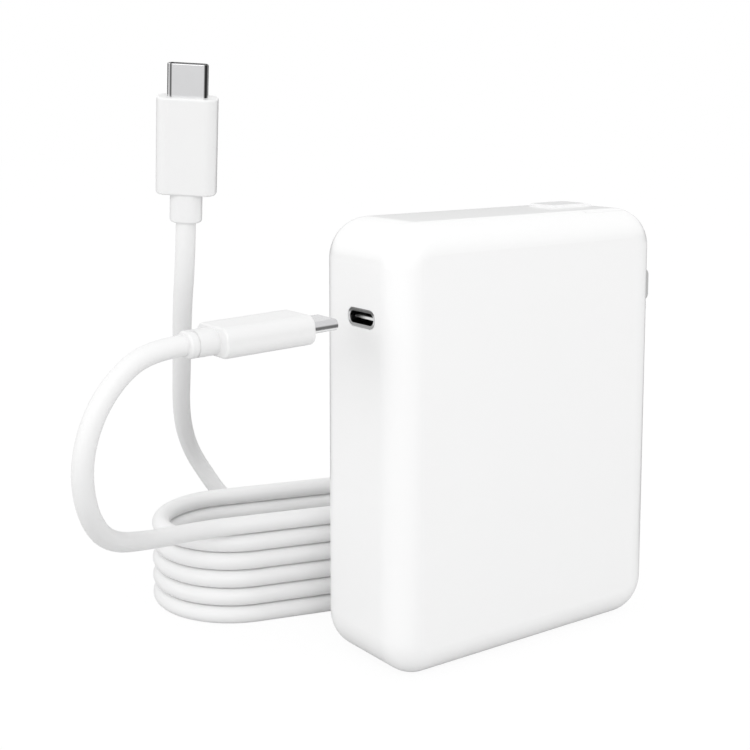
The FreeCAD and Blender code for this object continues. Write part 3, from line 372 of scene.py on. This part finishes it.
def ferrite():
    """Dark sintered ferrite, with open pores and paler rubbed patches."""
    finish = Finish("ferrite")
    grains = finish.cells(GRAINS_PER_METRE)
    rub = finish.noise(2.5 * MM, detail=4)
    finish.surface(
        {
            "Base Color": finish.blend(rub, (0.035, 0.036, 0.038), grey(0.1)),
            "Roughness": 0.62 - 0.2 * (rub - 0.5),
            "Normal": finish.bump(grains, 0.02 * MM),
        }
    )
    return finish.material


def enamelled_wire():
    """Copper wire under clear enamel."""
    fixed = {"Metallic": 1.0, "Coat Weight": 0.6, "Coat Roughness": COAT_ROUGHNESS}
    finish = Finish("enamelled_wire", fixed)
    tone = finish.noise(2.2 * MM, detail=3)
    nicks = finish.noise(0.25 * MM, detail=1)
    finish.surface(
        {
            "Base Color": finish.blend(tone, (0.56, 0.27, 0.13), (0.78, 0.44, 0.25)),
            "Roughness": 0.3 + 0.2 * (nicks - 0.5),
            "Normal": finish.bump(nicks, 0.003 * MM),
        }
    )
    return finish.material


def can_sleeve(name, axis, seam):
    """A capacitor's dark sleeve with one pale stripe, and bare metal on its ends."""
    finish = Finish(name)
    facing = finish.node("ShaderNodeNewGeometry", output="Normal")
    along, across = finish.split(facing, (axis, seam))
    end = (along * along) > CAN_END_FROM
    stripe = (across > CAN_STRIPE_FROM) * (1 - end)
    cloud = finish.noise(5 * MM)
    sleeve = finish.blend(stripe, (0.03, 0.035, 0.05), (0.55, 0.57, 0.6))
    finish.surface(
        {
            "Base Color": finish.blend(end, sleeve, (0.74, 0.74, 0.75)),
            "Metallic": end,
            "Roughness": 0.34 + 0.08 * (cloud - 0.5),
            "Normal": finish.bump(cloud, 0.02 * MM),
        }
    )
    return finish.material


def steel_with_painted_reflections(name, node, across, half, painted_bands, level):
    """Polished steel of a node, with soft bands of painted reflection and shade across the given
    direction.
    """
    finish = Finish(name, {"Metallic": 1.0})
    low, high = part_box(node)
    place = (finish.reach(finish.place, across) - (low + high).dot(across) / 2) / half
    colour = (level, level, level + 0.01)
    haze = finish.noise(POLISH_HAZE, detail=3)
    tone = finish.blend(haze, shaded(colour, 0.95), colour)
    # Painted reflection and shade: each band lays its grey over the steel's own haze.
    for middle, half_band, shade in painted_bands:
        tone = finish.blend(finish.band(place - middle, half_band), tone, grey(shade))
    finish.surface({"Base Color": tone, "Roughness": 0.16 + 0.1 * (haze - 0.5)})
    return finish.material


def pale_edged_tongue():
    """The socket's black plastic, with the plate that shows at the tongue's front edge painted
    bright as a highlight that fades in across its width.
    """
    finish = Finish("pale_edged_tongue")
    low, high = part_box("socket_tongue")
    depth, across = finish.split(finish.place, "XY")
    # Painted highlight: pale along the front edge, fading in across the width.
    edge = depth < low.x + TONGUE_EDGE
    lit = finish.soft_step(across, *(high.y - share * (high.y - low.y) for share in TONGUE_LIT))
    pores = finish.noise(FINE_GRAIN)
    finish.surface(
        {
            "Base Color": finish.blend(edge * lit, grey(0.015), grey(0.95)),
            "Roughness": 0.4 + 0.1 * (pores - 0.5),
            "Normal": finish.bump(pores, GRAIN_DEPTH),
        }
    )
    return finish.material


def clear_tube():
    """The fuse's glass, with faint streaks along it."""
    fixed = {"Transmission Weight": 0.85, "Base Color": (0.85, 0.87, 0.85, 1)}
    finish = Finish("clear_tube", fixed)
    streaks = finish.noise(FINE_GRAIN, stretch=(1, 1, 12))
    finish.surface({"Roughness": 0.06 + 0.06 * streaks, "Normal": finish.bump(streaks, 0.003 * MM)})
    return finish.material


def slot_finishes():
    """A finish for each material slot of the record, apart from those done node by node."""
    return {
        "housing": moulded("satin_white_housing", grey(0.93), 0.32, coat=0.4, specular=0.4),
        "carrier": moulded("grey_carrier", grey(0.5), 0.46),
        "plug_body": moulded("white_plug_body", grey(0.85), 0.34, coat=0.3, specular=0.4),
        "cable_jacket": moulded(
            "soft_white_jacket", grey(0.87), 0.48, grain=0.18 * MM, depth=0.006 * MM
        ),
        "plated_steel": plated("nickel_plated_steel", (0.64, 0.63, 0.6), 0.24),
        "blade_metal": brushed(
            "nickel_plated_blade", (0.72, 0.7, 0.66), 0.4, (1, 1, 30), metallic=0.8
        ),
        "contact_brass": plated("plain_brass", (0.78, 0.62, 0.34), 0.3),
        "contact_gold": plated("gold_plated_contact", (0.86, 0.72, 0.44), 0.22),
        "connector_insulator": moulded("black_connector_plastic", grey(0.02), 0.4),
        "board": circuit_board(),
        "chip_body": moulded(
            "black_epoxy", (0.035, 0.035, 0.04), 0.5, grain=0.2 * MM, depth=0.008 * MM
        ),
        "insulating_sheet": moulded(
            "polyester_sheet", (0.8, 0.78, 0.7), 0.3, grain=1.2 * MM, depth=0.01 * MM
        ),
        "bare_aluminium": brushed("rolled_aluminium", (0.78, 0.78, 0.79), 0.36, (1, 1, 40)),
        "thermal_pad": moulded(
            "filled_silicone", (0.45, 0.5, 0.58), 0.75, grain=0.5 * MM, depth=0.03 * MM
        ),
        "ferrite": ferrite(),
        "bobbin_plastic": moulded("black_bobbin", grey(0.12), 0.45),
        "copper_wire": enamelled_wire(),
        "capacitor_can": can_sleeve("capacitor_sleeve", "X", "Z"),
        "film_case": moulded("yellow_film_case", (0.75, 0.62, 0.2), 0.4),
        "fuse_glass": clear_tube(),
        "wire_insulation": moulded("grey_wire_insulation", (0.25, 0.25, 0.26), 0.45),
    }


def node_finishes():
    """Finishes of single nodes, by the node's name. They come before the slot's."""
    return {
        "socket_shell": steel_with_painted_reflections(
            "polished_socket_shell",
            "socket_shell",
            Vector((0, 0, 1)),
            SOCKET_SHELL_HALF,
            SOCKET_PAINTED_REFLECTIONS,
            0.88,
        ),
        "port_plug_shell": steel_with_painted_reflections(
            "polished_port_plug_shell",
            "port_plug_shell",
            PORT_PLUG_UP,
            PORT_PLUG_HALF,
            PORT_PLUG_PAINTED_REFLECTIONS,
            0.66,
        ),
        "laptop_plug_shell": steel_with_painted_reflections(
            "polished_upright_shell",
            "laptop_plug_shell",
            UPRIGHT_PLUG_ACROSS,
            UPRIGHT_PLUG_HALF,
            UPRIGHT_PLUG_PAINTED_REFLECTIONS,
            0.86,
        ),
        "socket_tongue": pale_edged_tongue(),
        "socket_contacts": plated("pale_plated_contact", (0.86, 0.85, 0.82), 0.22),
        "output_capacitors": can_sleeve("output_capacitor_sleeve", "Y", "Z"),
    }


def link(obj):
    bpy.context.scene.collection.objects.link(obj)
    return obj


def look_from_camera():
    """The photograph's view: the camera's place, its heading and its lens."""
    lens = bpy.data.cameras.new("camera")
    lens.sensor_width = SENSOR
    lens.lens = FOCAL_PIXELS / IMAGE_SIDE * SENSOR
    lens.shift_y = (LENS_AXIS_ROW - IMAGE_SIDE / 2) / IMAGE_SIDE
    lens.clip_start = NEAREST_SEEN
    camera = link(bpy.data.objects.new("camera", lens))
    camera.location = CAMERA_PLACE
    camera.rotation_euler = (math.pi / 2 - CAMERA_DOWN, 0, CAMERA_HEADING)
    bpy.context.scene.camera = camera


def coil_point(along, out, z):
    return COIL_ALONG * along + COIL_ACROSS * out + Vector((0, 0, z))


def level_z(level):
    """Height of the cable's middle on a level of the coil, with level 1 on the floor."""
    return CABLE_D / 2 + (level - 1) * COIL_PITCH


def half_turn(centre, start_out, end_out, side, z_from, z_to):
    """Control points of a half turn to one side, on the polygon that touches it."""
    step = math.pi / HALF_TURN_POINTS
    middle = (start_out + end_out) / 2
    half_way = (end_out - start_out) / 2 / math.cos(step / 2)
    points = []
    for index in range(-1, HALF_TURN_POINTS + 1):
        angle = (index + 0.5) * step
        share = min(max(angle / math.pi, 0), 1)
        share = share * share * (3 - 2 * share)
        along = centre + side * abs(half_way) * math.sin(angle)
        out = middle - half_way * math.cos(angle)
        points.append(coil_point(along, out, z_from + (z_to - z_from) * share))
    return points


def coil_route():
    """The coil's turns from the top level down. Each falls a level on its right side."""
    points = []
    for level in range(COIL_LEVELS, 1, -1):
        below = level_z(level - 1)
        points += half_turn(COIL_RIGHT, COIL_FRONT, COIL_BACK, 1, level_z(level), below)
        points += half_turn(COIL_LEFT, COIL_BACK, COIL_FRONT, -1, below, below)
    floor = level_z(1)
    return points + half_turn(COIL_OUTER_RIGHT, COIL_FRONT, COIL_OUTER, 1, floor, floor)


def cable_route():
    """The whole cable, from the port plug through the coil and up to the laptop plug."""
    from_port_plug = [
        (-78.63, -1.6, 74.86),
        (-84.63, -1.6, 74.65),
        (-91.3, -2, 71.9),
        (-97.7, -2.6, 64.8),
        (-100.3, -1.7, 54.8),
        (-97.3, 2.6, 43.8),
        (-88, 14, 33.5),
        (-70, 32.5, 25.5),
    ]
    to_laptop_plug = [
        (-18.5, 75.5, 8.5),
        (-25.5, 79, 16),
        (-31, 78, 23.5),
        (-38, 73.5, 32.5),
        (-46.5, 61.5, 44.5),
        (-56.5, 41.5, 62.5),
        (-62.5, 29.5, 76.5),
        (-65, 23, 87.5),
        (-65.5, 21.5, 96),
    ]
    top = level_z(COIL_LEVELS)
    onto_coil = [
        coil_point(COIL_START - LEAD_IN, COIL_FRONT, top),
        coil_point(COIL_START, COIL_FRONT, top),
    ]
    off_coil = [
        coil_point(COIL_END, COIL_OUTER, level_z(1)),
        coil_point(COIL_END - LEAD_OUT, COIL_OUTER, level_z(1) + LEAD_OUT_LIFT),
    ]
    route = [Vector(point) * MM for point in from_port_plug]
    route += onto_coil + coil_route() + off_coil
    return route + [Vector(point) * MM for point in to_laptop_plug]


def charging_cable(finish):
    """One smooth line through the route, as thick as the cable."""
    line = bpy.data.curves.new("charging_cable", "CURVE")
    line.dimensions = "3D"
    line.resolution_u = CABLE_STEPS
    line.bevel_depth = CABLE_D / 2
    line.bevel_resolution = CABLE_ROUNDNESS
    line.use_fill_caps = True
    spline = line.splines.new("NURBS")
    route = cable_route()
    spline.points.add(len(route) - 1)
    for point, place in zip(spline.points, route):
        point.co = (*place, 1)
    spline.order_u = 3
    spline.use_endpoint_u = True
    line.materials.append(finish)
    cable = link(bpy.data.objects.new("charging_cable", line))
    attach(cable, "root")
    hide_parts("cable_lead", "cable_coil", "cable_riser")


class WireTree(Graph):
    """A geometry tree with named inputs for its sizes, that ends in plain wire."""

    def __init__(self, name, inputs):
        tree = bpy.data.node_groups.new(name, "GeometryNodeTree")
        super().__init__(tree)
        tree.interface.new_socket("Geometry", in_out="OUTPUT", socket_type="NodeSocketGeometry")
        for label, kind in inputs.items():
            tree.interface.new_socket(label, in_out="INPUT", socket_type=kind)
        self.entry = tree.nodes.new("NodeGroupInput")

    def given(self, label):
        return Value(self, self.entry.outputs[label])

    def finish(self, strands):
        """Lays the strands along Y at the winding's centre, and joins them in their finish."""
        joined = self.tree.nodes.new("GeometryNodeJoinGeometry")
        for strand in strands:
            placed = self.node(
                "GeometryNodeTransform",
                {},
                {
                    "Geometry": strand,
                    "Translation": self.given("Centre"),
                    "Rotation": (-math.pi / 2, 0, 0),
                },
            )
            self.tree.links.new(placed.socket, joined.inputs[0])
        realised = self.node(
            "GeometryNodeRealizeInstances", {}, {"Geometry": Value(self, joined.outputs[0])}
        )
        painted = self.node(
            "GeometryNodeSetMaterial",
            {},
            {"Geometry": realised, "Material": self.given("Finish")},
        )
        end = self.tree.nodes.new("NodeGroupOutput")
        self.tree.links.new(painted.socket, end.inputs[0])

    def wire(self, curve):
        """A curve as wire of the tree's own radius."""
        section = self.node(
            "GeometryNodeCurvePrimitiveCircle",
            {"mode": "RADIUS"},
            {"Resolution": WIRE_SIDES, "Radius": self.given("Wire radius")},
        )
        return self.node(
            "GeometryNodeCurveToMesh",
            {},
            {"Curve": curve, "Profile Curve": section, "Fill Caps": True},
        )


def layered_tree():
    """Wire wound in layers on a spool that lies along Y."""
    tree = WireTree(
        "wire_in_layers",
        {
            "Centre": "NodeSocketVector",
            "Length": "NodeSocketFloat",
            "Inner radius": "NodeSocketFloat",
            "Wire radius": "NodeSocketFloat",
            "Layers": "NodeSocketInt",
            "Finish": "NodeSocketMaterial",
        },
    )
    wire = tree.given("Wire radius")
    length = tree.given("Length") - 2 * wire
    spiral = tree.node(
        "GeometryNodeCurveSpiral",
        {},
        {
            "Resolution": STEPS_A_TURN,
            "Rotations": length / (WIRE_PITCH * wire),
            "Start Radius": 1.0,
            "End Radius": 1.0,
            "Height": length,
        },
    )
    levels = tree.node(
        "GeometryNodeMeshLine", {}, {"Count": tree.given("Layers"), "Offset": (0, 0, 0)}
    )
    index = tree.node("GeometryNodeInputIndex")
    radius = tree.given("Inner radius") + wire + index * 2 * wire
    size = tree.node("ShaderNodeCombineXYZ", {}, {"X": radius, "Y": radius, "Z": 1.0})
    layers = tree.node(
        "GeometryNodeInstanceOnPoints",
        {},
        {"Points": levels, "Instance": spiral, "Scale": size},
    )
    lines = tree.node("GeometryNodeRealizeInstances", {}, {"Geometry": layers})
    half_back = tree.node("ShaderNodeCombineXYZ", {}, {"Z": length * -0.5})
    centred = tree.node(
        "GeometryNodeTransform",
        {},
        {"Geometry": tree.wire(lines), "Translation": half_back},
    )
    tree.finish([centred])
    return tree.tree


def ring_tree():
    """Two halves of a ring core's winding, on a ring that lies in the XZ plane."""
    tree = WireTree(
        "wire_round_ring",
        {
            "Centre": "NodeSocketVector",
            "Ring radius": "NodeSocketFloat",
            "Section width": "NodeSocketFloat",
            "Section depth": "NodeSocketFloat",
            "Wire radius": "NodeSocketFloat",
            "Turns": "NodeSocketInt",
            "Finish": "NodeSocketMaterial",
        },
    )
    wire = tree.given("Wire radius")
    loop = tree.node(
        "GeometryNodeCurvePrimitiveQuadrilateral",
        {"mode": "RECTANGLE"},
        {
            "Width": tree.given("Section depth") + 2 * wire,
            "Height": tree.given("Section width") + 2 * wire,
        },
    )
    rounded = tree.node(
        "GeometryNodeFilletCurve",
        {"mode": "POLY"},
        {"Curve": loop, "Count": WIRE_BEND_STEPS, "Radius": wire * WIRE_BEND},
    )
    turn = tree.wire(rounded)
    halves = []
    for middle in (0, math.pi):
        arc = tree.node(
            "GeometryNodeCurveArc",
            {"mode": "RADIUS"},
            {
                "Resolution": RING_STEPS,
                "Radius": tree.given("Ring radius"),
                "Start Angle": middle - RING_HALF_SWEEP / 2,
                "Sweep Angle": RING_HALF_SWEEP,
            },
        )
        stations = tree.node(
            "GeometryNodeCurveToPoints",
            {"mode": "COUNT"},
            {"Curve": arc, "Count": tree.given("Turns")},
        )
        facing = Value(tree, stations.socket.node.outputs["Rotation"])
        halves.append(
            tree.node(
                "GeometryNodeInstanceOnPoints",
                {},
                {"Points": stations, "Instance": turn, "Rotation": facing},
            )
        )
    tree.finish(halves)
    return tree.tree


def wound(name, tree, node, finish, **sizes):
    """A winding's piece: the tree's result as a plain mesh, in place of its CAD node."""
    empty = bpy.data.meshes.new(name + "_carrier")
    carrier = link(bpy.data.objects.new(name + "_carrier", empty))
    modifier = carrier.modifiers.new("winding", "NODES")
    modifier.node_group = tree
    sizes["finish"] = finish
    for item in tree.interface.items_tree:
        if item.in_out == "INPUT":
            modifier[item.identifier] = sizes[item.name.lower().replace(" ", "_")]
    evaluated = carrier.evaluated_get(bpy.context.evaluated_depsgraph_get())
    mesh = bpy.data.meshes.new_from_object(evaluated)
    mesh.name = name
    bpy.data.objects.remove(carrier)
    mesh.materials.clear()
    mesh.materials.append(finish)
    mesh.polygons.foreach_set("use_smooth", [True] * len(mesh.polygons))
    piece = link(bpy.data.objects.new(name, mesh))
    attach(piece, "root")
    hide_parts(node)


def windings(finish):
    """Real turns of wire for the transformer, the drum choke and the ring choke."""
    layers = layered_tree()
    for name, node, inner, wire in (
        ("transformer_wire", "transformer_winding", TRAFO_TUBE_R, TRAFO_WIRE_R),
        ("boost_choke_wire", "boost_choke_winding", DRUM_LEG_R, DRUM_WIRE_R),
    ):
        low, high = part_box(node)
        outer = (high.x - low.x) / 2
        wound(
            name,
            layers,
            node,
            finish,
            centre=(low + high) / 2,
            length=high.y - low.y,
            inner_radius=inner,
            wire_radius=wire,
            layers=int((outer - inner) / (2 * wire)),
        )
    low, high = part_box("line_choke_core")
    outer = (high.x - low.x) / 2
    inner = outer * RING_HOLE_SHARE
    wound(
        "line_choke_wire",
        ring_tree(),
        "line_choke_windings",
        finish,
        centre=(low + high) / 2,
        ring_radius=(outer + inner) / 2,
        section_width=outer - inner,
        section_depth=high.y - low.y,
        wire_radius=RING_WIRE_R,
        turns=RING_TURNS,
    )


def paint_nodes(finishes):
    """Gives every CAD node its own finish, or that of its material slot."""
    own = node_finishes()
    for part in frame["record"]["subparts"]:
        node = part["node"]
        mesh = frame["nodes"][node].data
        mesh.materials.clear()
        mesh.materials.append(own.get(node) or finishes[part["material_slot"]])


def dim_end(graph):
    """Where the floor is dim to what gloss mirrors: a widening strip behind the object."""
    place = graph.node("ShaderNodeTexCoord", output="Object")
    depth = graph.reach(place, END_WALL)
    side = graph.reach(place, Vector((END_WALL.y, -END_WALL.x, 0)))
    share = side / (DIM_STRIP_HALF + DIM_STRIP_SPREAD * depth)
    within = graph.soft_step(share * share, *DIM_STRIP_EDGE, 1.0, 0.0)
    return within * graph.soft_step(depth, 0.0, DIM_STRIP_HALF)


def white_floor():
    """A floor that the camera sees white, with the object's shadow faint on it."""
    paint = bpy.data.materials.new("white_floor")
    paint.use_nodes = True
    graph = Graph(paint.node_tree)
    graph.tree.nodes.clear()
    seen = graph.node("ShaderNodeLightPath", output="Is Camera Ray")
    mirrored = Value(graph, seen.socket.node.outputs["Is Glossy Ray"])
    glow = graph.node("ShaderNodeEmission", {}, {"Strength": FLOOR_GLOW})
    tone = FLOOR_GREY * (1 - END_WALL_DIM * mirrored * dim_end(graph))
    matt = graph.node("ShaderNodeBsdfDiffuse", {}, {"Color": tone})
    mixed = graph.node("ShaderNodeMixShader", {}, {"Fac": seen * FLOOR_SEEN})
    graph.feed(mixed.socket.node.inputs[1], matt)
    graph.feed(mixed.socket.node.inputs[2], glow)
    end = graph.tree.nodes.new("ShaderNodeOutputMaterial")
    graph.feed(end.inputs["Surface"], mixed)
    mesh = bpy.data.meshes.new("floor")
    half = FLOOR_SIDE / 2
    corners = [(-half, -half, 0), (half, -half, 0), (half, half, 0), (-half, half, 0)]
    mesh.from_pydata(corners, [], [(0, 1, 2, 3)])
    mesh.materials.append(paint)
    link(bpy.data.objects.new("floor", mesh))


def white_surround():
    """A world that is white to the camera and lights plainly. Gloss mirrors one dim end wall."""
    world = bpy.data.worlds.new("surround")
    world.use_nodes = True
    bpy.context.scene.world = world
    graph = Graph(world.node_tree)
    path = graph.node("ShaderNodeLightPath", output="Is Camera Ray")
    rays = path.socket.node.outputs
    shown = path + Value(graph, rays["Is Transmission Ray"])
    direction = graph.node("ShaderNodeTexCoord", output="Generated")
    (height,) = graph.split(direction, "Z")
    bottom, top = END_WALL_TOP
    low = graph.soft_step(height * height, bottom ** 2, top ** 2, 1.0, 0.0)
    behind = graph.soft_step(graph.reach(direction, END_WALL), *END_WALL_SIDES)
    sky = SKY_LOW - SKY_FALL * height * height
    mirrored = 1 - END_WALL_DIM * low * behind
    strength = sky + (1 - sky) * shown + (mirrored - sky) * Value(graph, rays["Is Glossy Ray"])
    background = world.node_tree.nodes["Background"]
    background.inputs["Color"].default_value = (1, 1, 1, 1)
    graph.feed(background.inputs["Strength"], strength)


def studio_lamps():
    """Large square lamps. Each one's level is what it adds to a surface that faces it."""
    for name, (direction, size, level) in LAMPS.items():
        lamp = bpy.data.lights.new(name, "AREA")
        lamp.shape = "SQUARE"
        lamp.size = size
        lamp.energy = level * math.pi ** 2 * LAMP_DISTANCE ** 2
        holder = link(bpy.data.objects.new(name, lamp))
        away = Vector(direction).normalized()
        holder.location = LAMP_TARGET + away * LAMP_DISTANCE
        holder.rotation_euler = away.to_track_quat("Z", "Y").to_euler()


bpy.context.scene.view_settings.view_transform = "Standard"
finishes = slot_finishes()
look_from_camera()
charging_cable(finishes["cable_jacket"])
windings(finishes["copper_wire"])
paint_nodes(finishes)
white_floor()
white_surround()
studio_lamps()
